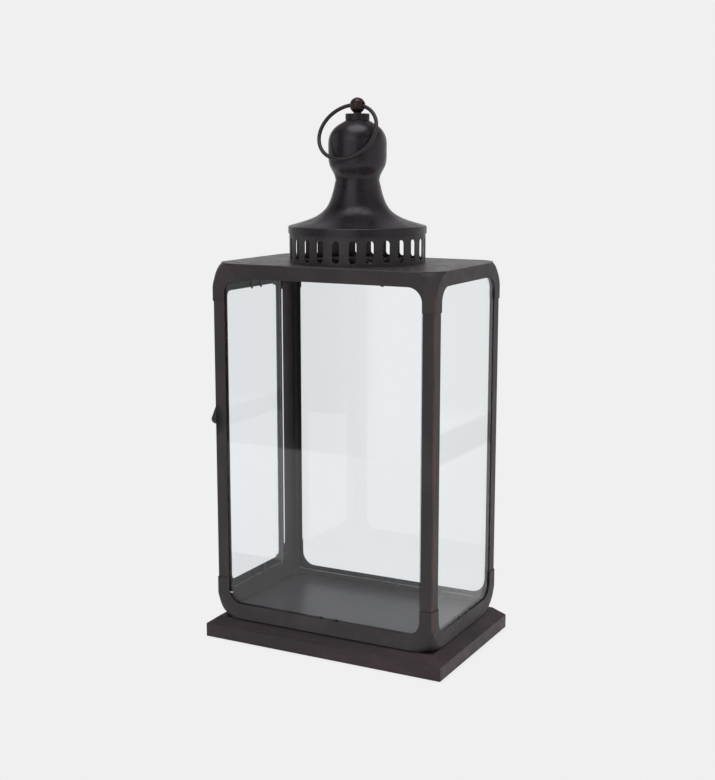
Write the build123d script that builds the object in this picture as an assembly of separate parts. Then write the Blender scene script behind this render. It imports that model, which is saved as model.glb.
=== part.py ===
"""Hurricane candle lantern: glazed sheet-metal body on a bevelled plinth, side door, vented chimney.

Millimetres, +Z up.  The origin is the centre of the plinth's underside; the wide faces look along Y
(front = -Y) and the door is the narrow -X side.
"""
import os
from build123d import *
from math import acos, cos, pi, radians, sin

# ---------------------------------------------------------------- driving dimensions
sheet = 0.8                 # stamped sheet of the body
glass = 2.0                 # pane thickness
clip_sheet = 0.6            # spring clips that hold the panes

base_width = 277.0          # plinth, left to right
base_depth = 177.0          # plinth, front to back
base_side_height = 14.0     # upright skirt of the plinth
base_top_width = 252.0      # flat top inside the bevel
base_top_depth = 160.6
base_top_z = 22.7
base_wall = 1.2
base_edge = 0.8             # tiny rounding of the plinth's upright edges
pad_inset = 8.0             # low pad under the body, in from the edges of the flat top
pad_corner = 20.0
board_sheet = 2.0           # fibreboard that closes the plinth's underside
board_play = 0.2            # free room round the board
screw_x = 92.0              # the four screws between body and plinth
screw_y = 70.0
screw_radius = 2.0
screw_head_radius = 4.0
screw_head_height = 2.4
screw_slot = 1.0

body_width = 254.0          # outside of the stamped frames
body_depth = 164.0
body_bottom = 23.9
body_top = 403.9
corner_radius = 32.5        # rounded corners of each face
window_radius = 15.5        # rounded corners of the window openings

side_strip = 14.6           # frame width beside a window
top_rail = 15.1
bottom_rail = 16.2
back_strip_cut = 3.0        # the back window is this much larger on every edge
hinge_strip = 24.7          # wider fixed strip that carries the hinges
sleeve_top = 39.5           # height of the top frame, roof to seam
sleeve_bottom = 42.8        # height of the bottom frame
roof_corner = 26.0          # rounded plan corners of the roof sheet and of the flange underneath
patch_recess = 0.5          # corner patches lie this far behind the face strips
sleeve_bend = 1.2           # outside bend radius of the frames' upright edges
post_strip_cut = 0.6        # posts are this much narrower than the frame strips
post_bend = 1.0             # outside bend radius of a corner post
post_play = 0.4             # free room at each end of a post
flange_width = 20.0         # bottom frame's flange, turned in under the body
flange_corner = 14.0
floor_inset = 2.0           # floor plate's edge, in from the body's outside
vent_lip = 10.0             # roof sheet left inside the vent collar

pane_overlap = 5.0          # pane behind its frame, each edge
door_pane_overlap = 8.0     # the same at the top and bottom of the door's pane
pane_corner = 8.0

clip_width = 3.4
clip_spacing = 18.4         # middle to middle of the two clips in a pair
clip_tongue = 1.3           # tongue past the window's edge
clip_foot = 4.0
clip_play = 0.5             # clip's step to the pane's edge
front_pair = 7.7            # middle of the front pane's lower clips, right of centre
front_single = 68.0         # the front pane's one upper clip, right of centre
right_pair = 2.0            # middle of the right pane's lower clips, behind the centre
right_single = -40.0        # the right pane's one upper clip
door_pair = 4.3             # middle of the door's clips, behind its centre

door_sheet = 1.2
door_gap = 1.4              # at the door's front and top
door_bottom_gap = 0.4
door_hinge_gap = 2.0
door_stile = 10.5
door_rail = 15.0
door_corner = 16.5
door_window_corner = 6.0
hinge_inset = 12.4          # each end of the door to the middle of its hinge
hinge_length = 9.0
hinge_axis_out = 2.0        # door's outer face to the hinge axis
leaf_sheet = 0.8
knuckle_radius = 1.6
knuckle_share = 0.36        # middle knuckle's part of the hinge length
knuckle_gap = 0.3
leaf_room = 0.5             # leaf to the other leaf's knuckle
door_leaf_reach = 16.0      # hinge axis to the end of a leaf
frame_leaf_reach = 12.0
pin_radius = 0.8
pin_clearance = 0.05
pin_head_radius = 1.4
pin_head_height = 0.8
pin_foot_radius = 1.2
pin_foot_height = 0.6

pull_from_edge = 3.2        # door's front edge to the pull
pull_z = 235.2              # middle of the drop's round end
pull_stand = 10.6           # door face to the drop's axis
pull_radius = 5.2
pull_tip = 15.0             # round end's middle to the point of the full drop
pull_tip_cut = 1.2          # the point is blunted by this much
pull_tip_radius = 0.55
pull_neck_foot = 3.0
pull_neck_top = 1.9
pull_stem_radius = 1.3
pull_stem_length = 6.0
pull_head_radius = 2.1
pull_head_height = 0.8

catch_low = 172.0
catch_high = 231.0
catch_sheet = 1.2
catch_inset = 4.0           # body's front to the keeper strip
catch_reach = 3.6           # catch strip behind the door's front stile
catch_rivet_inset = 8.0
catch_rivet_end = 10.0
catch_rivet_radius = 1.2
catch_rivet_head = 2.2
catch_rivet_head_height = 0.8
magnet_low = 190.0
magnet_high = 212.0
magnet_thickness = 3.0
magnet_before = 5.0         # magnet in front of the door's edge
magnet_short = 0.4          # magnet's edge back from the strip's

collar_radius = 70.6
collar_sheet = 1.0
collar_top = 438.6
slot_count = 25
slot_pitch = 14.06          # degrees
slot_width = 7.7
slot_bottom = 406.8
slot_top = 429.6
seam_angle = -162.0         # middle of the unslotted seam of the rolled strip, degrees from +X
collar_flange = 9.0
collar_rivet_count = 6
collar_rivet_inset = 5.0
collar_rivet_radius = 1.3
collar_rivet_head = 2.3
collar_rivet_head_height = 1.0

cap_sheet = 1.0
brim_radius = 71.7
brim_top = 440.6
brim_roll = 2.0             # rounded outer edge of the brim
skirt_sheet = 0.9
skirt_bottom = 433.8
neck_radius = 22.4
neck_z = 488.8
dome_radius = 30.0
dome_top = 548.6
dome_lid_radius = 11.3
spigot_height = 8.0
spigot_low = 1.0            # spigot's lower end, below the neck joint

finial_collar_radius = 12.3
finial_collar_top = 554.8
ridge_count = 48
groove_radius = 0.55
groove_out = 0.25           # groove's axis beyond the collar's edge
ball_radius = 8.0
ball_z = 563.1
ball_foot_radius = 4.2
stud_radius = 2.5
stud_length = 8.0           # stud below the dome's top
nut_radius = 4.6
nut_height = 3.2

ring_wire_radius = 1.95
ring_radius = 31.8
ring_tilt = 30.95           # the ring leans out from vertical by this angle as it rests on the dome
ring_roll = 5.7             # it hangs this far round in its own plane, in its loose hole
ring_hole_radius = 3.5

# ---------------------------------------------------------------- values worked out from them
half_w = body_width / 2
half_d = body_depth / 2
seam_high = body_top - sleeve_top
seam_low = body_bottom + sleeve_bottom
window_low = body_bottom + bottom_rail
window_high = body_top - top_rail
pane_out = 2 * sheet                        # pane's outer face, in from the frame's outside
clip_in = pane_out + glass                  # clip's tongue lies on the pane's inner face
door_front = -half_d + side_strip + door_gap
door_back = half_d - hinge_strip - door_hinge_gap
door_low = window_low + door_bottom_gap
door_high = window_high - door_gap
hinge_heights = (door_low + hinge_inset, door_high - hinge_inset)
pivot_x = -half_w - hinge_axis_out          # vertical door axis, just outside the hinge gap
pivot_y = door_back + door_hinge_gap / 2
pull_y = door_front + pull_from_edge
screw_low = base_top_z - base_wall
screw_length = body_bottom + sheet - screw_low
rivet_low = body_top - sheet                # collar rivets run from here to the top of the flange
rivet_high = body_top + collar_sheet
catch_outer = -half_w + sheet               # catch rivets run from here through post and strip
catch_inner = -half_w + 2 * sheet + catch_sheet

os.makedirs("parts", exist_ok=True)


def save(shape, name):
    """Write one node's solid or group of solids."""
    shape.label = name
    export_step(shape, f"parts/{name}.step")


def box(x0, x1, y0, y1, z0, z1):
    """Solid box between two corners."""
    middle = ((x0 + x1) / 2, (y0 + y1) / 2, (z0 + z1) / 2)
    return Pos(*middle) * Box(abs(x1 - x0), abs(y1 - y0), abs(z1 - z0))


def rounded_xz(x0, x1, z0, z1, radius, y0, y1):
    """Rounded rectangle seen from the front, as a slab from y0 to y1."""
    plane = Plane(origin=((x0 + x1) / 2, y1, (z0 + z1) / 2), x_dir=(1, 0, 0), z_dir=(0, -1, 0))
    return extrude(plane * RectangleRounded(x1 - x0, z1 - z0, radius), y1 - y0)


def rounded_yz(y0, y1, z0, z1, radius, x0, x1):
    """Rounded rectangle seen from the side, as a slab from x0 to x1."""
    plane = Plane(origin=(x0, (y0 + y1) / 2, (z0 + z1) / 2), x_dir=(0, 1, 0), z_dir=(1, 0, 0))
    return extrude(plane * RectangleRounded(y1 - y0, z1 - z0, radius), x1 - x0)


def rounded_xy(width, depth, radius, z0, z1):
    """Rounded rectangle seen from above, as a slab from z0 to z1."""
    return extrude(Pos(0, 0, z0) * RectangleRounded(width, depth, radius), z1 - z0)


# ---------------------------------------------------------------- stamped body frames
def corner_fade(inset):
    """Solid whose plan corners round off from sharp, at corner_radius below the roof, to full at the roof.

    The section's corner radius follows a circular arc, so the surface runs smoothly out of both
    faces and into the roof.
    """
    sections = []
    for turn in (9, 25, 40, 54, 67, 79, 90):
        rise = corner_radius * sin(radians(turn))
        fade = corner_radius * (1 - cos(radians(turn)))
        z = body_top - corner_radius + rise
        width = body_width - 2 * inset
        depth = body_depth - 2 * inset
        sections.append(Pos(0, 0, z) * RectangleRounded(width, depth, fade))
    return loft(sections)


def corner_shells():
    """The four dished patches between neighbouring face strips, under the roof."""
    shell = corner_fade(patch_recess) - corner_fade(patch_recess + sheet)
    reach = corner_radius + 2 * sheet
    low = body_top - corner_radius
    zones = Part()
    for sx in (-1, 1):
        for sy in (-1, 1):
            zones += box(sx * (half_w - reach), sx * half_w, sy * (half_d - reach), sy * half_d,
                         low, body_top - sheet)
    return shell & zones


def window_cutters():
    """Prisms of the four window openings; the back one is larger and the left one narrower."""
    side = half_w - side_strip
    back = side + back_strip_cut
    deep = half_d - side_strip
    return [
        rounded_xz(-side, side, window_low, window_high, window_radius, -half_d - 1, 0),
        rounded_xz(-back, back, window_low - back_strip_cut, window_high + back_strip_cut,
                   window_radius, 0, half_d + 1),
        rounded_yz(-deep, deep, window_low, window_high, window_radius, 0, half_w + 1),
        rounded_yz(-deep, half_d - hinge_strip, window_low, window_high, window_radius, -half_w - 1, 0),
    ]


def face_plates():
    """Four full-height faces of sheet, each a rounded rectangle, with their upright edges bent."""
    low, high = body_bottom, body_top
    front = rounded_xz(-half_w, half_w, low, high, corner_radius, -half_d, -half_d + sheet)
    back = rounded_xz(-half_w, half_w, low, high, corner_radius, half_d - sheet, half_d)
    right = rounded_yz(-half_d, half_d, low, high, corner_radius, half_w - sheet, half_w)
    left = rounded_yz(-half_d, half_d, low, high, corner_radius, -half_w, -half_w + sheet)
    bent = rounded_xy(body_width, body_depth, sleeve_bend, low, high)
    return (front + back + right + left) & bent


def make_top_frame(plates, shells, windows):
    """Upper stamped frame: four rails, four sleeves over the posts and four corner patches."""
    band = box(-half_w, half_w, -half_d, half_d, seam_high, body_top - sheet)
    return (plates & band) + shells - windows


def make_bottom_frame(plates, shells, windows):
    """Lower stamped frame, the same with a flange turned in under the body."""
    band = box(-half_w, half_w, -half_d, half_d, body_bottom, seam_low)
    frame = (plates & band) + mirrored_low(shells) - windows
    flange = rounded_xy(body_width, body_depth, roof_corner, body_bottom, body_bottom + sheet)
    flange -= rounded_xy(body_width - 2 * flange_width, body_depth - 2 * flange_width, flange_corner,
                         body_bottom - sheet, body_bottom + 2 * sheet)
    return frame + flange - base_screw_shanks()


def mirrored_low(shape):
    """Turn a shape at the roof over to the same place at the body's underside."""
    return Pos(0, 0, body_top + body_bottom) * mirror(shape, Plane.XY)


def make_roof_plate():
    """Flat roof sheet with the round vent hole under the chimney."""
    plate = rounded_xy(body_width, body_depth, roof_corner, body_top - sheet, body_top)
    hole = Pos(0, 0, body_top) * Cylinder(collar_radius - vent_lip, 4 * sheet)
    return plate - hole - collar_rivet_shanks()


def make_floor_plate():
    """Plain floor sheet that drops in on the bottom flange."""
    low = body_bottom + sheet
    return rounded_xy(body_width - 2 * floor_inset, body_depth - 2 * floor_inset, corner_radius,
                      low, low + sheet)


def make_post(sx, sy):
    """L-section corner post that tucks into the sleeves of both frames."""
    x_leg = side_strip - post_strip_cut
    y_leg = side_strip - post_strip_cut
    if sy > 0:
        x_leg -= back_strip_cut
        if sx < 0:
            y_leg = hinge_strip - post_strip_cut
    low = body_bottom + corner_radius + post_play
    high = body_top - corner_radius - post_play
    tube = rounded_xy(body_width - 2 * sheet, body_depth - 2 * sheet, post_bend, low, high)
    tube -= box(-half_w + 2 * sheet, half_w - 2 * sheet, -half_d + 2 * sheet, half_d - 2 * sheet,
                low - 1, high + 1)
    near = box(sx * (half_w - x_leg), sx * half_w, sy * (half_d - y_leg), sy * half_d, low, high)
    return tube & near


# ---------------------------------------------------------------- panes and their clips
def pane_xz(x_half, z0, z1, sy):
    """Pane of the front or back window."""
    outer = sy * (half_d - pane_out)
    inner = sy * (half_d - pane_out - glass)
    return rounded_xz(-x_half, x_half, z0, z1, pane_corner, min(outer, inner), max(outer, inner))


def pane_yz(y0, y1, z0, z1, outer):
    """Pane of a narrow side; outer is the x of its outside face, its thickness goes inwards."""
    inner = outer + (glass if outer < 0 else -glass)
    return rounded_yz(y0, y1, z0, z1, pane_corner, min(outer, inner), max(outer, inner))


def clip(foot_depth, tongue_depth, edge, pane_edge):
    """One Z-shaped clip in the plane depth-height, for a top rail with the window's edge at `edge`.

    Depth grows into the lantern.  The foot is welded to the rail above the pane, and the tongue
    lies on the pane's inner face and ends just inside the window.
    """
    step = pane_edge + clip_play
    points = [
        (foot_depth, step + clip_foot),
        (foot_depth, step),
        (tongue_depth, step),
        (tongue_depth, edge - clip_tongue),
        (tongue_depth + clip_sheet, edge - clip_tongue),
        (tongue_depth + clip_sheet, step + clip_sheet),
        (foot_depth + clip_sheet, step + clip_sheet),
        (foot_depth + clip_sheet, step + clip_foot),
    ]
    face = make_face(Polyline(*points, close=True))
    return extrude(face, clip_width / 2, both=True)


def pair(middle):
    """Places of the two clips of a pair along a rail."""
    return [middle - clip_spacing / 2, middle + clip_spacing / 2]


def top_clips(edge, overlap, foot_depth, tongue_depth, places):
    """Clips on a top rail whose window edge is at height `edge`, in the depth-height plane."""
    piece = clip(foot_depth, tongue_depth, edge, edge + overlap)
    return [Pos(0, 0, place) * piece for place in places]


def bottom_clips(edge, overlap, foot_depth, tongue_depth, places):
    """The same clips turned over for a bottom rail."""
    piece = mirror(clip(foot_depth, tongue_depth, -edge, -edge + overlap), Plane.XZ)
    return [Pos(0, 0, place) * piece for place in places]


def stand_clips(pieces, origin, inward, along):
    """Stand clips up in a wall: depth runs along `inward`, height is +Z."""
    wall = Plane(origin=origin, x_dir=inward, z_dir=along)
    return Compound(children=[wall * piece for piece in pieces])


# ---------------------------------------------------------------- plinth
def make_base_plinth():
    """Hollow plinth: upright skirt, bevel, flat top and a low pad that the body stands on."""
    outside = rounded_xy(base_width, base_depth, base_edge, 0, base_side_height)
    outside += loft([
        Pos(0, 0, base_side_height) * RectangleRounded(base_width, base_depth, base_edge),
        Pos(0, 0, base_top_z) * RectangleRounded(base_top_width, base_top_depth, base_edge),
    ])
    wide = base_width - 2 * base_wall
    deep = base_depth - 2 * base_wall
    inside = rounded_xy(wide, deep, base_edge, 0, base_side_height)
    inside += loft([
        Pos(0, 0, base_side_height) * RectangleRounded(wide, deep, base_edge),
        Pos(0, 0, base_top_z - base_wall) * RectangleRounded(
            base_top_width - 2 * base_wall, base_top_depth - 2 * base_wall, base_edge),
    ])
    pad = rounded_xy(base_top_width - 2 * pad_inset, base_top_depth - 2 * pad_inset, pad_corner,
                     base_top_z - base_wall, body_bottom)
    return outside - inside + pad - base_screw_shanks()


def make_underside_board():
    """Thin board let into the plinth's skirt, flush with its lower edge."""
    wide = base_width - 2 * base_wall - 2 * board_play
    deep = base_depth - 2 * base_wall - 2 * board_play
    return rounded_xy(wide, deep, base_edge, 0, board_sheet)


def base_screw_shank(sx, sy):
    """Shank of one screw that holds the body on the plinth."""
    shank = Cylinder(screw_radius, screw_length)
    return Pos(sx * screw_x, sy * screw_y, screw_low + screw_length / 2) * shank


def base_screw_shanks():
    """Shanks of all four screws."""
    return Part() + [base_screw_shank(sx, sy) for sx in (-1, 1) for sy in (-1, 1)]


def make_base_screws():
    """Four short pan-head screws, heads under the plinth's top."""
    screws = []
    half_slot = screw_slot / 2
    for sx in (-1, 1):
        for sy in (-1, 1):
            x, y = sx * screw_x, sy * screw_y
            head = Cylinder(screw_head_radius, screw_head_height)
            head = Pos(x, y, screw_low - screw_head_height / 2) * head
            slot = box(x - half_slot, x + half_slot, y - screw_head_radius, y + screw_head_radius,
                       screw_low - screw_head_height, screw_low - screw_head_height + screw_slot)
            screws.append(base_screw_shank(sx, sy) + head - slot)
    return Compound(children=screws)


# ---------------------------------------------------------------- door
def make_door_frame():
    """Flat door ring with rounded corners, nested in the opening of the left side."""
    outer = -half_w
    inner = -half_w + door_sheet
    ring = rounded_yz(door_front, door_back, door_low, door_high, door_corner, outer, inner)
    ring -= rounded_yz(door_front + door_stile, door_back - door_stile, door_low + door_rail,
                       door_high - door_rail, door_window_corner, outer - 1, inner + 1)
    return ring - pull_stem()


def knuckle_levels(z):
    """Lower, middle and upper knuckle of a hinge centred at height z, as (low, high) pairs."""
    half = hinge_length / 2
    core = hinge_length * knuckle_share / 2
    return ((z - half, z - core - knuckle_gap), (z - core, z + core), (z + core + knuckle_gap, z + half))


def hinge_leaf(z, on_door):
    """One leaf with its knuckles: the middle one on the door, the outer two on the fixed strip."""
    x0, x1 = -half_w - leaf_sheet, -half_w
    low, middle, high = knuckle_levels(z)
    spans = [middle] if on_door else [low, high]
    side = -1 if on_door else 1
    reach = door_leaf_reach if on_door else frame_leaf_reach
    clear = knuckle_radius + leaf_room
    near, far = sorted((pivot_y + side * clear, pivot_y + side * reach))
    leaf = box(x0, x1, near, far, z - hinge_length / 2, z + hinge_length / 2)
    start, end = sorted((pivot_y, pivot_y + side * (clear + leaf_room)))
    for z0, z1 in spans:
        leaf += box(x0, x1, start, end, z0, z1)
        leaf += Pos(pivot_x, pivot_y, (z0 + z1) / 2) * Cylinder(knuckle_radius, z1 - z0)
    return leaf - Pos(pivot_x, pivot_y, z) * Cylinder(pin_radius + pin_clearance, hinge_length + 2)


def make_hinge_leaves(on_door):
    """The leaves of both hinges on one side."""
    return Compound(children=[hinge_leaf(z, on_door) for z in hinge_heights])


def make_hinge_pins():
    """Two headed pins, one through each hinge, resting on the upper knuckle."""
    pins = []
    for z in hinge_heights:
        half = hinge_length / 2
        shank = Cylinder(pin_radius, hinge_length + pin_foot_height)
        head = Pos(0, 0, half + pin_head_height / 2) * Cylinder(pin_head_radius, pin_head_height)
        foot = Pos(0, 0, -half - pin_foot_height / 2) * Cylinder(pin_foot_radius, pin_foot_height)
        pins.append(Pos(pivot_x, pivot_y, z) * (shank + head + foot))
    return Compound(children=pins)


def make_door_pull():
    """Teardrop pull: round below, drawn to a point above, with a short neck to the door."""
    touch = acos(pull_radius / pull_tip)
    tangent = (pull_radius * sin(touch), pull_radius * cos(touch))
    top = pull_tip - pull_tip_cut
    shoulder = (pull_tip_radius, top - pull_tip_radius / 2)
    outline = Line((0, -pull_radius), (0, top))
    tip = Line((0, top), shoulder)
    flank = Line(shoulder, tangent)
    belly = ThreePointArc(tangent, (pull_radius, 0), (0, -pull_radius))
    drop = revolve(Plane.XZ * make_face([outline, tip, flank, belly]), Axis.Z)
    drop = Pos(-half_w - pull_stand, pull_y, pull_z) * drop
    neck_length = pull_stand - pull_radius / 2
    neck = Rot(0, 90, 0) * Cone(pull_neck_foot, pull_neck_top, neck_length)
    neck = Pos(-half_w - neck_length / 2, pull_y, pull_z) * Rot(0, 180, 0) * neck
    return drop + neck - pull_stem()


def pull_stem():
    """Rivet shank that runs from inside the door into the pull's neck."""
    x0 = -half_w - pull_stem_length
    x1 = -half_w + door_sheet
    return Pos((x0 + x1) / 2, pull_y, pull_z) * Rot(0, 90, 0) * Cylinder(pull_stem_radius, x1 - x0)


def make_pull_rivet():
    """Rivet that holds the pull, with a low cone head on the door's inner face."""
    x1 = -half_w + door_sheet
    head = Rot(0, 90, 0) * Cone(pull_head_radius, pull_stem_radius, pull_head_height)
    return pull_stem() + Pos(x1 + pull_head_height / 2, pull_y, pull_z) * head


def catch_rivet_places():
    """Centres of the two rivets through the catch strip and the post."""
    y = -half_d + catch_rivet_inset
    return [(y, catch_low + catch_rivet_end), (y, catch_high - catch_rivet_end)]


def catch_rivet_shank(y, z):
    """Shank of one catch rivet."""
    shank = Rot(0, 90, 0) * Cylinder(catch_rivet_radius, catch_inner - catch_outer)
    return Pos((catch_outer + catch_inner) / 2, y, z) * shank


def catch_rivet_shanks():
    """Shanks of both catch rivets."""
    return Part() + [catch_rivet_shank(y, z) for y, z in catch_rivet_places()]


def make_catch_strip():
    """Flat keeper strip on the front post that stops the closed door from inside."""
    strip = box(catch_inner - catch_sheet, catch_inner, -half_d + catch_inset, door_front + catch_reach,
                catch_low, catch_high)
    return strip - catch_rivet_shanks()


def make_catch_magnet():
    """Small magnet glued to the keeper strip behind the door's stile."""
    return box(catch_inner, catch_inner + magnet_thickness, door_front - magnet_before,
               door_front + catch_reach - magnet_short, magnet_low, magnet_high)


def make_catch_rivets():
    """Two rivets with low heads on the strip."""
    rivets = []
    for y, z in catch_rivet_places():
        head = Rot(0, 90, 0) * Cylinder(catch_rivet_head, catch_rivet_head_height)
        head = Pos(catch_inner + catch_rivet_head_height / 2, y, z) * head
        rivets.append(catch_rivet_shank(y, z) + head)
    return Compound(children=rivets)


# ---------------------------------------------------------------- chimney
def turned(points_in, points_out):
    """Thin turned shell between an inside and an outside outline of (radius, height) points.

    Every outline is one smooth curve, and the outlines join at their ends.
    """
    inner = Spline(*points_in)
    outer = Spline(*points_out)
    first = Line(points_in[0], points_out[0])
    last = Line(points_in[-1], points_out[-1])
    return revolve(Plane.XZ * make_face([inner, outer, first, last]), Axis.Z)


def slot_cutters():
    """Upright slots with round ends, evenly spaced but for the blank at the strip's seam."""
    seam_gap = 360 - (slot_count - 1) * slot_pitch
    height = slot_top - slot_bottom
    shape = Plane(origin=(0, 0, (slot_top + slot_bottom) / 2), x_dir=(0, 1, 0), z_dir=(1, 0, 0))
    cutter = extrude(shape * SlotOverall(height, slot_width, rotation=90), collar_radius + collar_sheet)
    first = seam_angle + seam_gap / 2
    return [Rot(0, 0, first + i * slot_pitch) * cutter for i in range(slot_count)]


def make_vent_collar():
    """Rolled collar with vent slots and a flange turned in on the roof."""
    height = collar_top - body_top
    middle = Pos(0, 0, body_top + height / 2)
    tube = middle * (Cylinder(collar_radius, height) - Cylinder(collar_radius - collar_sheet, height))
    flange = Pos(0, 0, body_top + collar_sheet / 2) * Cylinder(collar_radius, collar_sheet)
    flange -= Pos(0, 0, body_top) * Cylinder(collar_radius - collar_flange, 4 * collar_sheet)
    return tube - slot_cutters() + flange - collar_rivet_shanks()


def collar_rivet_places():
    """Rivet centres round the collar's flange."""
    ring = collar_radius - collar_rivet_inset
    return [(ring * cos(2 * pi * i / collar_rivet_count), ring * sin(2 * pi * i / collar_rivet_count))
            for i in range(collar_rivet_count)]


def collar_rivet_shank(x, y):
    """Shank of one rivet through flange and roof."""
    return Pos(x, y, (rivet_low + rivet_high) / 2) * Cylinder(collar_rivet_radius, rivet_high - rivet_low)


def collar_rivet_shanks():
    """Shanks of all the collar's rivets."""
    return Part() + [collar_rivet_shank(x, y) for x, y in collar_rivet_places()]


def make_collar_rivets():
    """Rivets with low heads above and below."""
    rivets = []
    head = Cylinder(collar_rivet_head, collar_rivet_head_height)
    rise = collar_rivet_head_height / 2
    for x, y in collar_rivet_places():
        rivet = collar_rivet_shank(x, y)
        rivet += Pos(x, y, rivet_high + rise) * head
        rivet += Pos(x, y, rivet_low - rise) * head
        rivets.append(rivet)
    return Compound(children=rivets)


def make_chimney_cap():
    """Bell-shaped cap: skirt over the collar, flat brim, long flare and a spigot for the dome."""
    rim = brim_radius - brim_roll
    skirt_inside = brim_radius - skirt_sheet
    flare_out = [
        (rim, brim_top + 0.9),
        (53.4, 446.4),
        (40.1, 452.5),
        (32.9, 458.9),
        (28.4, 466.9),
        (25.0, 477.2),
        (neck_radius, neck_z),
    ]
    flare_in = [
        (rim, brim_top - 0.1),
        (53.0, 445.3),
        (39.6, 451.5),
        (32.1, 458.1),
        (27.4, 466.5),
        (24.0, 476.9),
        (neck_radius - cap_sheet, neck_z),
    ]
    flare = turned(flare_in, flare_out)
    brim_mid = (brim_radius + rim) / 2
    brim_section = make_face([
        Line((rim, brim_top - 0.1), (rim, brim_top + 0.9)),
        ThreePointArc(
            (rim, brim_top + 0.9), (brim_mid + 0.45, brim_top + 0.45), (brim_radius, brim_top - 1.0)),
        Line((brim_radius, brim_top - 1.0), (brim_radius, skirt_bottom)),
        Line((brim_radius, skirt_bottom), (skirt_inside, skirt_bottom)),
        Line((skirt_inside, skirt_bottom), (skirt_inside, brim_top - 1.2)),
        Line((skirt_inside, brim_top - 1.2), (rim, brim_top - 0.1)),
    ])
    brim = revolve(Plane.XZ * brim_section, Axis.Z)
    spigot_radius = neck_radius - cap_sheet / 2
    spigot = Cylinder(spigot_radius, spigot_height) - Cylinder(spigot_radius - cap_sheet, spigot_height)
    return flare + brim + Pos(0, 0, neck_z - spigot_low + spigot_height / 2) * spigot


def make_chimney_dome():
    """Onion-shaped dome that stands on the cap's neck."""
    outside = [
        (neck_radius + 0.4, neck_z),
        (24.9, 495.4),
        (28.2, 501.6),
        (29.8, 508.5),
        (dome_radius, 517.5),
        (29.6, 529.0),
        (27.1, 535.9),
        (21.9, 541.9),
        (14.6, 546.6),
        (11.4, dome_top),
    ]
    inside = [
        (neck_radius - 0.4, neck_z),
        (24.0, 495.8),
        (27.3, 501.9),
        (28.8, 508.6),
        (dome_radius - 1, 517.5),
        (28.6, 528.7),
        (26.2, 535.4),
        (21.3, 541.1),
        (14.2, 545.7),
        (11.0, dome_top - 1),
    ]
    shell = turned(inside, outside)
    lid = Pos(0, 0, dome_top - cap_sheet / 2) * Cylinder(dome_lid_radius, cap_sheet)
    return shell + lid - stud()


def stud():
    """Threaded stud of the finial, down through its collar and the dome."""
    low = dome_top - stud_length
    return Pos(0, 0, (low + ball_z) / 2) * Cylinder(stud_radius, ball_z - low)


def make_finial_collar():
    """Knurled collar between dome and ball."""
    height = finial_collar_top - dome_top
    disc = Pos(0, 0, dome_top + height / 2) * Cylinder(finial_collar_radius, height)
    groove_place = Pos(finial_collar_radius + groove_out, 0, dome_top + height / 2)
    groove = groove_place * Cylinder(groove_radius, height - 4 * groove_radius)
    disc -= [Rot(0, 0, i * 360 / ridge_count) * groove for i in range(ridge_count)]
    return disc - stud()


def make_finial_ball():
    """Ball on its stud, cross-drilled for the ring."""
    ball = Pos(0, 0, ball_z) * Sphere(ball_radius)
    foot = Pos(0, 0, (finial_collar_top + ball_z) / 2) * Cylinder(
        ball_foot_radius, ball_z - finial_collar_top)
    hole = Pos(0, 0, ball_z) * Rot(0, 90, 0) * Cylinder(ring_hole_radius, 3 * ball_radius)
    reach = 2 * stud_radius
    lower = stud() & box(-reach, reach, -reach, reach, 0, finial_collar_top)
    return ball + foot + lower - hole


def make_finial_nut():
    """Hexagon nut inside the dome."""
    nut = Pos(0, 0, dome_top - cap_sheet - nut_height) * extrude(RegularPolygon(nut_radius, 6), nut_height)
    return nut - stud()


# ---------------------------------------------------------------- ring handle
def make_ring_handle():
    """Round wire ring through the ball, hanging forward against the dome."""
    sag = ball_radius ** 2 / (2 * ring_radius)
    drop = ring_radius - sag / 2
    tilt = radians(ring_tilt)
    roll = radians(ring_roll)
    centre = (-drop * sin(roll), -drop * cos(roll) * sin(tilt), ball_z - drop * cos(roll) * cos(tilt))
    facing = (0, -cos(tilt), sin(tilt))
    ring = Plane(origin=centre, x_dir=(1, 0, 0), z_dir=facing) * Torus(ring_radius, ring_wire_radius)
    return ring


# ---------------------------------------------------------------- build every node
plates = face_plates()
shells = corner_shells()
windows = window_cutters()

save(make_base_plinth(), "base_plinth")
save(make_base_screws(), "base_screws")
save(make_underside_board(), "underside_board")
save(make_bottom_frame(plates, shells, windows), "bottom_frame")
save(make_floor_plate(), "floor_plate")
save(make_top_frame(plates, shells, windows), "top_frame")
save(make_roof_plate(), "roof_plate")

save(make_post(-1, -1) - catch_rivet_shanks(), "post_front_left")
save(make_post(1, -1), "post_front_right")
save(make_post(-1, 1), "post_back_left")
save(make_post(1, 1), "post_back_right")

front_half = half_w - side_strip + pane_overlap
back_half = front_half + back_strip_cut
deep_half = half_d - side_strip + pane_overlap
low_edge = window_low - pane_overlap
high_edge = window_high + pane_overlap
save(pane_xz(front_half, low_edge, high_edge, -1), "glass_front")
save(pane_xz(back_half, low_edge - back_strip_cut, high_edge + back_strip_cut, 1), "glass_back")
save(pane_yz(-deep_half, deep_half, low_edge, high_edge, half_w - pane_out), "glass_right")
save(pane_yz(door_front + door_stile - pane_overlap, door_back - door_stile + pane_overlap,
             door_low + door_rail - door_pane_overlap, door_high - door_rail + door_pane_overlap,
             -half_w + door_sheet), "glass_door")

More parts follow.
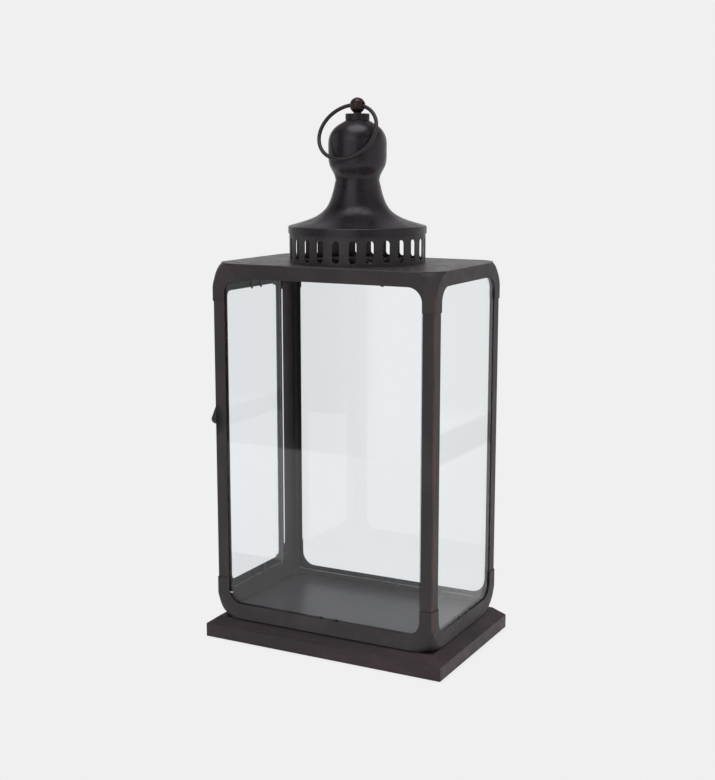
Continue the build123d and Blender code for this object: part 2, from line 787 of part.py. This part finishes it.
clips = top_clips(window_high, pane_overlap, sheet, clip_in, [front_single])
clips += bottom_clips(window_low, pane_overlap, sheet, clip_in, pair(front_pair))
save(stand_clips(clips, (0, -half_d, 0), (0, 1, 0), (1, 0, 0)), "clips_front")
clips = top_clips(window_high + back_strip_cut, pane_overlap, sheet, clip_in, pair(0))
clips += bottom_clips(window_low - back_strip_cut, pane_overlap, sheet, clip_in, pair(0))
save(stand_clips(clips, (0, half_d, 0), (0, -1, 0), (-1, 0, 0)), "clips_back")
clips = top_clips(window_high, pane_overlap, sheet, clip_in, [right_single])
clips += bottom_clips(window_low, pane_overlap, sheet, clip_in, pair(right_pair))
save(stand_clips(clips, (half_w, 0, 0), (-1, 0, 0), (0, 1, 0)), "clips_right")
door_in = door_sheet + glass
clips = top_clips(door_high - door_rail, door_pane_overlap, door_sheet, door_in, pair(-door_pair))
clips += bottom_clips(door_low + door_rail, door_pane_overlap, door_sheet, door_in, pair(-door_pair))
save(stand_clips(clips, (-half_w, (door_front + door_back) / 2, 0), (1, 0, 0), (0, -1, 0)), "clips_door")

save(make_door_frame(), "door_frame")
save(make_hinge_leaves(True), "hinge_leaves_door")
save(make_hinge_leaves(False), "hinge_leaves_frame")
save(make_hinge_pins(), "hinge_pins")
save(make_door_pull(), "door_pull")
save(make_pull_rivet(), "pull_rivet")
save(make_catch_strip(), "catch_strip")
save(make_catch_magnet(), "catch_magnet")
save(make_catch_rivets(), "catch_rivets")

save(make_vent_collar(), "vent_collar")
save(make_collar_rivets(), "collar_rivets")
save(make_chimney_cap(), "chimney_cap")
save(make_chimney_dome(), "chimney_dome")
save(make_finial_collar(), "finial_collar")
save(make_finial_ball(), "finial_ball")
save(make_finial_nut(), "finial_nut")
save(make_ring_handle(), "ring_handle")
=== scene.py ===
"""Looks of the hurricane candle lantern: procedural paint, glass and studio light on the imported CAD.

Metres, in the CAD's own frame: +Z up, the wide front pane towards -Y, the door towards -X.
"""
import bpy
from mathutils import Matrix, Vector


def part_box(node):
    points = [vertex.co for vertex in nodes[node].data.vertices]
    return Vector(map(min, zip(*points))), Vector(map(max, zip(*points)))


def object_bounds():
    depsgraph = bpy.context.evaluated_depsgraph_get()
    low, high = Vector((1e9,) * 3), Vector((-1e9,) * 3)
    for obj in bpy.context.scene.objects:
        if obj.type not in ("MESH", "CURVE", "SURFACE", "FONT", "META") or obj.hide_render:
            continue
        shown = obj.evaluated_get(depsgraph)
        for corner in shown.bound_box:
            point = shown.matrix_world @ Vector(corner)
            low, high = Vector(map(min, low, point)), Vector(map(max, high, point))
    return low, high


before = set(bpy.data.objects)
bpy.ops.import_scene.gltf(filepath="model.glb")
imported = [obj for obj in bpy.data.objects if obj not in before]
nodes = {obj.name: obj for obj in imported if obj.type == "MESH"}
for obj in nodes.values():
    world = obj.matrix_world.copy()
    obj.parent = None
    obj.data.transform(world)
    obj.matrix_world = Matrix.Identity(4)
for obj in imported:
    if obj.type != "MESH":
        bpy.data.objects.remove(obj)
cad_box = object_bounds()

scene = bpy.context.scene

# ---------------------------------------------------------------- studio levels, linear light
BACKDROP = 0.871            # pale grey of floor and background
DIM_SIDE = 0.07             # unlit room to the front left, seen only in reflections
BRIGHT_SIDE = 0.88          # white surroundings behind
FRONT_BOX = 1.15            # wide soft box facing the front
PAPER_FRONT = -0.90         # front edge of the white paper on the floor
SOFT_BOXES = (              # direction, cosine of the half width, strength
    ((0.97, -0.22, 0.15), 0.95, 0.08),      # faint, on the right
    ((0.0, -0.08, 1.0), 0.93, 3.7),         # overhead
    ((-0.10, -0.75, 0.66), 0.93, 1.1),      # high in front
    ((-0.97, -0.20, 0.12), 0.93, 0.60),     # on the left
)

CAMERA_LENS = 61.13                         # mm, on the standard 36 mm sensor
CAMERA_PLACE = (0.6421, -1.2234, 0.5144)
CAMERA_TARGET = (0.0, 0.0, 0.26803)

GLASS_IOR = 1.5
GLASS_WINDOW = 0.0050                       # how far a window's edge lies inside its pane

# ---------------------------------------------------------------- paint colours, linear
BRONZE_DARK = (0.0335, 0.0275, 0.0320)
BRONZE_WARM = (0.0480, 0.0350, 0.0395)
BODY_DARK = (0.0430, 0.0390, 0.0420)        # flat sheet of the body
BODY_WARM = (0.0600, 0.0500, 0.0530)
RUB_BROWN = (0.086, 0.046, 0.041)
CORNER_BROWN = (0.120, 0.066, 0.052)        # primer showing along the front right corner
# near-black colour of painted shade: recesses, the gap round each window, the door pull's shadow
PAINTED_SHADE = (0.0060, 0.0055, 0.0055)
TURNED_DARK = (0.0172, 0.0130, 0.0182)      # turned chimney pieces
TURNED_WARM = (0.0232, 0.0172, 0.0234)


class Graph:
    """One shader tree, built with short calls."""

    def __init__(self, owner):
        owner.use_nodes = True
        self.tree = owner.node_tree
        self.tree.nodes.clear()

    def add(self, kind, inputs=None, **settings):
        """New node of a kind, with its settings, and its inputs set to values or linked to sockets."""
        node = self.tree.nodes.new(kind)
        for key, value in settings.items():
            setattr(node, key, value)
        for key, value in (inputs or {}).items():
            if isinstance(value, bpy.types.NodeSocket):
                self.tree.links.new(value, node.inputs[key])
            else:
                node.inputs[key].default_value = value
        return node

    def math(self, operation, a, b=0.0):
        """One arithmetic step."""
        return self.add("ShaderNodeMath", {0: a, 1: b}, operation=operation).outputs[0]

    def dot(self, a, b):
        """Dot product of two vectors."""
        return self.add("ShaderNodeVectorMath", {0: a, 1: b}, operation="DOT_PRODUCT").outputs["Value"]

    def spread(self, value, low, high, to_low=0.0, to_high=1.0):
        """Smooth step of a value from low..high to the given range."""
        node = self.add("ShaderNodeMapRange", {0: value, 1: low, 2: high, 3: to_low, 4: to_high},
                        interpolation_type="SMOOTHSTEP")
        return node.outputs[0]

    def blend(self, factor, a, b):
        """Mixes two colours."""
        def colour(c):
            return c if isinstance(c, bpy.types.NodeSocket) else (*c, 1.0)
        node = self.add("ShaderNodeMix", {0: factor, 6: colour(a), 7: colour(b)}, data_type="RGBA")
        return node.outputs[2]

    def place(self, stretch=(1.0, 1.0, 1.0)):
        """The piece's own coordinates in metres, stretched along its axes."""
        where = self.add("ShaderNodeTexCoord").outputs["Object"]
        return self.add("ShaderNodeMapping", {"Vector": where, "Scale": stretch}).outputs[0]

    def noise(self, scale, detail=3.0, rough=0.5, stretch=(1.0, 1.0, 1.0), seed=0.0):
        """Noise of so many cells per metre."""
        where = self.place(stretch)
        shifted = self.add("ShaderNodeVectorMath", {0: where, 1: (seed, seed * 0.7, -seed)}).outputs[0]
        return self.add("ShaderNodeTexNoise", {"Vector": shifted, "Scale": scale, "Detail": detail,
                                               "Roughness": rough}).outputs[0]

    def edges(self, radius):
        """1 along sharp edges within the radius, 0 on flats."""
        rounded = self.add("ShaderNodeBevel", {"Radius": radius}, samples=6).outputs[0]
        flat = self.add("ShaderNodeNewGeometry").outputs["Normal"]
        return self.spread(self.dot(rounded, flat), 0.995, 0.86)

    def recess_shade(self, reach):
        """Mask for painted shade: 1 in tight recesses, 0 in the open."""
        open_part = self.add("ShaderNodeAmbientOcclusion", {"Distance": reach}, samples=6,
                             only_local=False).outputs["AO"]
        return self.spread(open_part, 0.75, 0.2)

    def bump(self, height, strength, distance):
        """Normal bent by a height."""
        return self.add("ShaderNodeBump", {"Height": height, "Strength": strength,
                                           "Distance": distance}).outputs[0]

    def finish(self, shader):
        """Sends the shader to the surface."""
        self.add("ShaderNodeOutputMaterial", {0: shader})


def material(name):
    """New material and its empty graph."""
    made = bpy.data.materials.new(name)
    return made, Graph(made)


# ---------------------------------------------------------------- materials
def bronze_paint(name, dark=BRONZE_DARK, warm=BRONZE_WARM, rough=0.42, wear=0.6, grain=(1.0, 1.0, 1.0),
                 streaks=0.0, seed=0.0, shine=0.27, knob_shade=None, corner=None):
    """Oil-rubbed bronze paint: cloudy colour, fine orange peel, brown rub-through on the edges, and painted
    shade in recesses.

    The door pull's point, when given, is the middle of a painted shadow of the pull.  corner is the x and y
    of an upright edge rubbed brown.
    """
    made, g = material(name)
    clouds = g.noise(28.0, 4.0, 0.55, grain, seed)
    fine = g.noise(260.0, 3.0, 0.6, grain, seed + 3.1)
    peel = g.noise(1500.0, 2.0, 0.5, (1.0, 1.0, 1.0), seed + 7.7)
    colour = g.blend(g.spread(clouds, 0.35, 0.68), dark, warm)
    colour = g.blend(g.math("MULTIPLY", g.spread(fine, 0.52, 0.75), 0.35), colour, RUB_BROWN)
    patchy = g.spread(g.noise(75.0, 4.0, 0.65, (1.0, 1.0, 0.35), seed + 11.3), 0.42, 0.62)
    rub = g.math("MULTIPLY", g.math("MULTIPLY", g.edges(0.0019), patchy), wear)
    colour = g.blend(rub, colour, RUB_BROWN)
    if corner:
        away = g.add("ShaderNodeVectorMath", {0: g.place((1.0, 1.0, 0.0)), 1: (*corner, 0.0)},
                     operation="DISTANCE").outputs["Value"]
        worn = g.spread(g.noise(22.0, 3.0, 0.6, (0.2, 0.2, 1.0), seed + 21.0), 0.30, 0.62, 0.25, 0.95)
        colour = g.blend(g.math("MULTIPLY", g.spread(away, 0.0021, 0.0010), worn), colour, CORNER_BROWN)
    # Painted shade: darkening in tight recesses and creases, blended towards the near-black shade colour
    # below.
    shade_mask = g.math("MULTIPLY", g.recess_shade(0.008), 0.9)
    # Painted shadow of the door pull on the post, darkest round the given point.
    if knob_shade:
        reach = g.add("ShaderNodeVectorMath", {0: g.place(), 1: knob_shade}, operation="DISTANCE").outputs["Value"]
        shade_mask = g.math("MAXIMUM", shade_mask, g.spread(reach, 0.032, 0.019))
    colour = g.blend(shade_mask, colour, PAINTED_SHADE)
    gloss = g.spread(g.noise(90.0, 3.0, 0.6, grain, seed + 5.0), 0.3, 0.7, rough - 0.05, rough + 0.07)
    gloss = g.math("ADD", gloss, g.math("MULTIPLY", shade_mask, 0.15))
    if streaks:
        brushed = g.noise(240.0, 3.0, 0.7, (0.06, 1.0, 1.0), seed + 2.2)
        gloss = g.math("ADD", gloss, g.math("MULTIPLY", g.math("SUBTRACT", brushed, 0.5), streaks))
    height = g.math("ADD", peel, g.math("MULTIPLY", fine, 1.5))
    shader = g.add("ShaderNodeBsdfPrincipled", {
        "Base Color": colour, "Roughness": gloss, "Normal": g.bump(height, 0.22, 0.00012)})
    shader.inputs["Specular IOR Level"].default_value = shine
    g.finish(shader.outputs[0])
    return made


def satin_floor(name):
    """Smooth satin sheet that blurs what it reflects, with faint wiping marks and painted shade in its
    recesses.
    """
    made, g = material(name)
    clouds = g.noise(14.0, 4.0, 0.6, seed=4.0)
    wipes = g.noise(120.0, 4.0, 0.65, (0.12, 1.0, 1.0), 9.0)
    colour = g.blend(g.spread(clouds, 0.3, 0.7), (0.0580, 0.0530, 0.0630), (0.0700, 0.0640, 0.0740))
    gloss = g.spread(wipes, 0.25, 0.75, 0.27, 0.36)
    # Painted shade: darker in tight recesses.
    colour = g.blend(g.math("MULTIPLY", g.recess_shade(0.012), 0.7), colour, PAINTED_SHADE)
    height = g.noise(1300.0, 2.0, 0.5, seed=6.0)
    shader = g.add("ShaderNodeBsdfPrincipled", {
        "Base Color": colour, "Roughness": gloss, "Normal": g.bump(height, 0.12, 0.0001)})
    shader.inputs["IOR"].default_value = 1.5
    g.finish(shader.outputs[0])
    return made


def clear_glass(name, node, across, window, line, clear_tint):
    """Window glass: clear faces with true gloss, a painted shadow line round the window and a painted
    highlight along the pane's lower edge.

    across is the pane's thin axis, 0 or 1.  window is how far the window's sides and its lower edge
    lie inside the pane, and line is the strength of the painted shadow line there.
    """
    made, g = material(name)
    low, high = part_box(node)
    smudge = g.spread(g.noise(16.0, 5.0, 0.62, (1.0, 1.0, 0.6), 2.5), 0.5, 0.8)
    dust = g.spread(g.noise(900.0, 2.0, 0.5, seed=8.0), 0.72, 0.8)
    clear = g.add("ShaderNodeBsdfTransparent")
    clear.inputs["Color"].default_value = (*clear_tint, 1.0)
    mirror = g.add("ShaderNodeBsdfGlossy", {"Roughness": g.math("MULTIPLY", smudge, 0.05)})
    film = g.add("ShaderNodeBsdfDiffuse", {"Color": (0.75, 0.78, 0.80, 1.0)})
    leaving = g.add("ShaderNodeNewGeometry").outputs["Backfacing"]
    ratio = g.add("ShaderNodeMapRange", {0: leaving, 1: 0.0, 2: 1.0, 3: GLASS_IOR, 4: 1.0 / GLASS_IOR})
    gloss = g.add("ShaderNodeFresnel", {"IOR": ratio.outputs[0]})
    faces = g.add("ShaderNodeMixShader", {0: gloss.outputs[0], 1: clear.outputs[0], 2: mirror.outputs[0]})
    marks = g.math("ADD", g.math("MULTIPLY", smudge, 0.006), g.math("MULTIPLY", dust, 0.03))
    faces = g.add("ShaderNodeMixShader", {0: marks, 1: faces.outputs[0], 2: film.outputs[0]})

    along = 1 - across
    where = g.add("ShaderNodeSeparateXYZ", {0: g.place()})
    from_side = g.math("MINIMUM", g.math("SUBTRACT", where.outputs[along], low[along]),
                       g.math("SUBTRACT", high[along], where.outputs[along]))
    from_low = g.math("SUBTRACT", where.outputs[2], low[2])
    inside = g.math("MINIMUM", from_side, from_low)
    from_window = g.math("SUBTRACT", inside, window)
    # Painted shadow: a dark band along the window's edge where the frame meets the pane.
    gap_shade_band = g.math("MULTIPLY", g.spread(from_window, 0.0014, 0.0005), g.spread(from_window, -0.0012, -0.0004))
    dark = g.add("ShaderNodeBsdfDiffuse", {"Color": (*PAINTED_SHADE, 1.0)})
    faces = g.add("ShaderNodeMixShader", {
        0: g.math("MULTIPLY", gap_shade_band, line), 1: faces.outputs[0], 2: dark.outputs[0]})

    # Painted highlight: the pane's lower edge is drawn pale grey, as if catching light; the upright edges
    # stay clear.
    tint = g.blend(g.spread(g.noise(60.0, 2.0, 0.5, seed=1.0), 0.35, 0.65),
                   (0.26, 0.29, 0.29), (0.62, 0.64, 0.64))
    rim = g.add("ShaderNodeBsdfPrincipled", {"Base Color": tint, "Roughness": 0.35})
    facing = g.add("ShaderNodeTexCoord").outputs["Normal"]
    thin = (1.0, 0.0, 0.0) if across == 0 else (0.0, 1.0, 0.0)
    edge = g.spread(g.math("ABSOLUTE", g.dot(facing, thin)), 0.9, 0.6)
    glint_band = g.spread(from_low, 0.0030, 0.0015)
    bare = g.add("ShaderNodeMixShader", {0: glint_band, 1: clear.outputs[0], 2: rim.outputs[0]})
    whole = g.add("ShaderNodeMixShader", {0: edge, 1: faces.outputs[0], 2: bare.outputs[0]})
    g.finish(whole.outputs[0])
    return made


def bare_metal(name, colour, worn, rough, seed):
    """Small bare or blackened steel pieces with fine scratches and tarnish."""
    made, g = material(name)
    tarnish = g.spread(g.noise(180.0, 4.0, 0.6, seed=seed), 0.35, 0.7)
    scratch = g.noise(1600.0, 2.0, 0.6, (0.15, 1.0, 1.0), seed + 1.0)
    tone = g.blend(tarnish, colour, worn)
    tone = g.blend(g.math("MULTIPLY", g.edges(0.0003), 0.5), tone, (0.45, 0.43, 0.40))
    gloss = g.spread(scratch, 0.3, 0.7, rough - 0.06, rough + 0.1)
    shader = g.add("ShaderNodeBsdfPrincipled", {
        "Base Color": tone, "Roughness": gloss, "Normal": g.bump(scratch, 0.15, 0.00008)})
    shader.inputs["Metallic"].default_value = 0.85
    g.finish(shader.outputs[0])
    return made


def moulded_plastic(name):
    """Black moulded plastic with a fine spark-eroded grain."""
    made, g = material(name)
    grain = g.noise(2200.0, 2.0, 0.5, seed=1.5)
    tone = g.blend(g.spread(g.noise(150.0, 3.0, 0.5, seed=2.0), 0.3, 0.7),
                   (0.010, 0.010, 0.011), (0.018, 0.018, 0.019))
    tone = g.blend(g.math("MULTIPLY", g.edges(0.0004), 0.4), tone, (0.05, 0.05, 0.05))
    shader = g.add("ShaderNodeBsdfPrincipled", {
        "Base Color": tone, "Roughness": g.spread(grain, 0.3, 0.7, 0.5, 0.62),
        "Normal": g.bump(grain, 0.25, 0.0001)})
    g.finish(shader.outputs[0])
    return made


def fibre_board(name):
    """Raw brown fibreboard: felted fibres, with painted shade darkening it in its recesses."""
    made, g = material(name)
    fibres = g.noise(700.0, 5.0, 0.7, (0.35, 1.0, 1.0), 3.0)
    blotches = g.noise(22.0, 3.0, 0.5, seed=5.0)
    tone = g.blend(g.spread(fibres, 0.3, 0.7), (0.17, 0.105, 0.062), (0.30, 0.20, 0.125))
    tone = g.blend(g.math("MULTIPLY", g.spread(blotches, 0.4, 0.7), 0.35), tone, (0.13, 0.08, 0.05))
    # Painted shade in recesses.
    tone = g.blend(g.math("MULTIPLY", g.recess_shade(0.004), 0.7), tone, (0.05, 0.032, 0.02))
    shader = g.add("ShaderNodeBsdfPrincipled", {
        "Base Color": tone, "Roughness": g.spread(fibres, 0.3, 0.7, 0.7, 0.85),
        "Normal": g.bump(fibres, 0.4, 0.0002)})
    g.finish(shader.outputs[0])
    return made


def assign(made, *names):
    """Gives CAD nodes a material in every slot."""
    for name in names:
        for place in nodes[name].material_slots:
            place.material = made


def dress_frame():
    """Paint for the body, each sheet with its own grain."""
    low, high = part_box("top_frame")
    assign(bronze_paint("frame_front_paint", BODY_DARK, BODY_WARM, wear=0.4, seed=1.0, shine=0.16,
                        corner=(high[0], low[1])), "top_frame", "bottom_frame")
    knob_low, knob_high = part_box("door_pull")
    knob = (Vector(knob_low) + Vector(knob_high)) / 2
    for count, name in enumerate(("post_front_left", "post_front_right", "post_back_left",
                                  "post_back_right")):
        # The front left post gets a painted shadow of the door pull round the pull's middle.
        knob_shade = knob if name == "post_front_left" else None
        low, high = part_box(name)
        corner = (high[0], low[1]) if name == "post_front_right" else None
        assign(bronze_paint(name + "_paint", BODY_DARK, BODY_WARM, grain=(1.0, 1.0, 0.4), wear=0.75,
                            seed=3.0 + count, shine=0.16, knob_shade=knob_shade, corner=corner), name)
    assign(bronze_paint("roof_paint", streaks=0.18, rough=0.39, seed=8.0, shine=1.0), "roof_plate")
    assign(bronze_paint("base_paint_rubbed", dark=(0.0290, 0.0225, 0.0270), warm=(0.052, 0.031, 0.036),
                        wear=0.6, grain=(0.3, 1.0, 1.0), streaks=0.08, seed=9.0, shine=0.30), "base_plinth")
    assign(bronze_paint("door_paint", grain=(1.0, 1.0, 0.4), seed=11.0), "door_frame", "catch_strip",
           "hinge_leaves_door", "hinge_leaves_frame")
    assign(satin_floor("floor_sheet"), "floor_plate")


def dress_chimney():
    """The turned pieces, a little smoother than the body."""
    assign(bronze_paint("collar_paint", dark=(0.0340, 0.0295, 0.0355), warm=(0.0440, 0.0365, 0.0430),
                        rough=0.40, seed=13.0, shine=0.36), "vent_collar")
    assign(bronze_paint("cap_paint", TURNED_DARK, TURNED_WARM, rough=0.31, wear=0.2, seed=14.0,
                        shine=0.34), "chimney_cap")
    assign(bronze_paint("dome_paint", TURNED_DARK, TURNED_WARM, rough=0.30, wear=0.2, seed=15.0,
                        shine=0.36), "chimney_dome", "finial_collar")
    assign(bronze_paint("ring_paint", rough=0.33, wear=0.4, seed=16.0), "ring_handle")
    assign(bronze_paint("ball_paint", dark=(0.026, 0.014, 0.011), warm=(0.045, 0.022, 0.017), rough=0.26,
                        wear=0.5, seed=17.0), "finial_ball")
    assign(bronze_paint("pull_paint", rough=0.30, wear=0.5, seed=18.0), "door_pull")


def dress_glass():
    """Four panes; the thin direction tells faces from edges."""
    # The last entry is each pane's see-through colour; values above 1 brighten what is seen through the pane,
    # painted light that makes up for what its faces reflect away.
    panes = (("glass_front", 1, 0.45, (0.978, 0.989, 0.997)), ("glass_back", 1, 0.0, (0.996, 1.002, 1.004)),
             ("glass_right", 0, 0.25, (0.999, 1.007, 1.012)), ("glass_door", 0, 0.0, (1.008, 1.012, 1.014)))
    for name, across, line, tint in panes:
        assign(clear_glass(name + "_clear", name, across, GLASS_WINDOW, line, tint), name)


def dress_small_parts():
    """Clips, fasteners, magnet and board."""
    clips = bare_metal("clip_metal", (0.045, 0.042, 0.040), (0.12, 0.115, 0.11), 0.38, 1.0)
    assign(clips, "clips_front", "clips_back", "clips_right", "clips_door")
    black = bare_metal("fastener_metal", (0.030, 0.027, 0.025), (0.10, 0.085, 0.075), 0.36, 2.0)
    assign(black, "base_screws", "collar_rivets", "catch_rivets", "pull_rivet", "finial_nut", "hinge_pins")
    assign(moulded_plastic("magnet_housing"), "catch_magnet")
    assign(fibre_board("underside_fibre"), "underside_board")


# ---------------------------------------------------------------- studio
def studio_world():
    """Plain pale surroundings; reflections see a dim room in front, white behind and soft boxes."""
    world = bpy.data.worlds.new("studio")
    scene.world = world
    g = Graph(world)
    way = g.add("ShaderNodeTexCoord").outputs["Generated"]
    behind = g.dot(way, (0.50, 0.866, 0.0))
    height = g.dot(way, (0.0, 0.0, 1.0))
    level = g.spread(behind, -0.62, 0.25, DIM_SIDE, BRIGHT_SIDE)
    level = g.math("MULTIPLY", level, g.spread(height, 0.25, 0.50, 1.0, 0.35))
    front = g.math("MULTIPLY", g.spread(g.dot(way, (0.883, -0.469, 0.0)), -0.02, 0.03),
                   g.spread(g.dot(way, (-0.906, -0.423, 0.0)), -0.05, 0.10))
    front = g.math("MULTIPLY", front, g.math("MULTIPLY", g.spread(height, -0.45, -0.35),
                                             g.spread(height, 0.60, 0.45)))
    level = g.math("ADD", level, g.math("MULTIPLY", front, FRONT_BOX))
    for aim, edge, power in SOFT_BOXES:
        near = g.dot(way, Vector(aim).normalized())
        level = g.math("ADD", level, g.spread(near, edge - 0.05, edge + 0.03, 0.0, power))
    seen = g.add("ShaderNodeLightPath").outputs["Is Camera Ray"]
    plain = g.add("ShaderNodeBackground")
    plain.inputs["Color"].default_value = (BACKDROP, BACKDROP, BACKDROP, 1.0)
    lit = g.add("ShaderNodeBackground", {"Strength": level})
    mixed = g.add("ShaderNodeMixShader", {0: seen, 1: lit.outputs[0], 2: plain.outputs[0]})
    g.add("ShaderNodeOutputWorld", {0: mixed.outputs[0]})


def studio_floor():
    """Pale round floor that fades into the surroundings, so that no edge shows; to the camera it is an even
    glow with a painted contact shadow round the base.
    """
    low = cad_box[0].z
    bpy.ops.mesh.primitive_circle_add(vertices=96, radius=1.5, fill_type="NGON",
                                      location=(0, 0, low - 0.0003))
    floor = bpy.context.object
    floor.name = "studio_floor"
    made, g = material("studio_floor_paper")
    where = g.add("ShaderNodeTexCoord").outputs["Object"]
    far = g.add("ShaderNodeVectorMath", {0: where}, operation="LENGTH").outputs["Value"]
    spot = g.add("ShaderNodeSeparateXYZ", {0: where})
    grain = g.noise(400.0, 2.0, 0.5, seed=20.0)
    gap = g.math("MULTIPLY", g.spread(spot.outputs[0], 0.485, 0.495), g.spread(spot.outputs[0], 0.60, 0.585))
    gap = g.math("MULTIPLY", gap, g.spread(spot.outputs[1], 0.45, 0.60))
    tone = g.blend(gap, g.blend(grain, (0.58, 0.58, 0.58), (0.62, 0.62, 0.62)), (0.32, 0.32, 0.33))
    paper = g.add("ShaderNodeBsdfDiffuse", {"Color": tone})
    glow = g.add("ShaderNodeEmission", {"Strength": g.spread(gap, 0.0, 1.0, 0.40, 0.20)})
    lit = g.add("ShaderNodeAddShader", {0: paper.outputs[0], 1: glow.outputs[0]})
    gone = g.add("ShaderNodeBsdfTransparent")
    fade = g.math("MAXIMUM", g.spread(far, 1.25, 1.45),
                  g.spread(spot.outputs[1], PAPER_FRONT, PAPER_FRONT - 0.02))
    mirrored = g.add("ShaderNodeMixShader", {0: fade, 1: lit.outputs[0], 2: gone.outputs[0]})
    # Painted contact shadow: the camera-seen glow dims where the floor meets the base.
    contact_shadow_ao = g.add("ShaderNodeAmbientOcclusion", {"Distance": 0.010}, samples=8).outputs["AO"]
    plain = g.add("ShaderNodeEmission", {"Strength": g.spread(contact_shadow_ao, 0.3, 0.9, BACKDROP * 0.90, BACKDROP)})
    seen = g.add("ShaderNodeLightPath").outputs["Is Camera Ray"]
    whole = g.add("ShaderNodeMixShader", {0: seen, 1: mirrored.outputs[0], 2: plain.outputs[0]})
    g.finish(whole.outputs[0])
    floor.data.materials.append(made)


def camera():
    """The photograph's view: right of the front and a little above."""
    data = bpy.data.cameras.new("camera")
    data.lens = CAMERA_LENS
    data.clip_start = 0.01
    data.clip_end = 50.0
    eye = bpy.data.objects.new("camera", data)
    scene.collection.objects.link(eye)
    eye.location = CAMERA_PLACE
    eye.rotation_euler = (Vector(CAMERA_TARGET) - eye.location).to_track_quat("-Z", "Y").to_euler()
    scene.camera = eye


dress_frame()
dress_chimney()
dress_glass()
dress_small_parts()
studio_world()
studio_floor()
camera()
scene.view_settings.view_transform = "Standard"
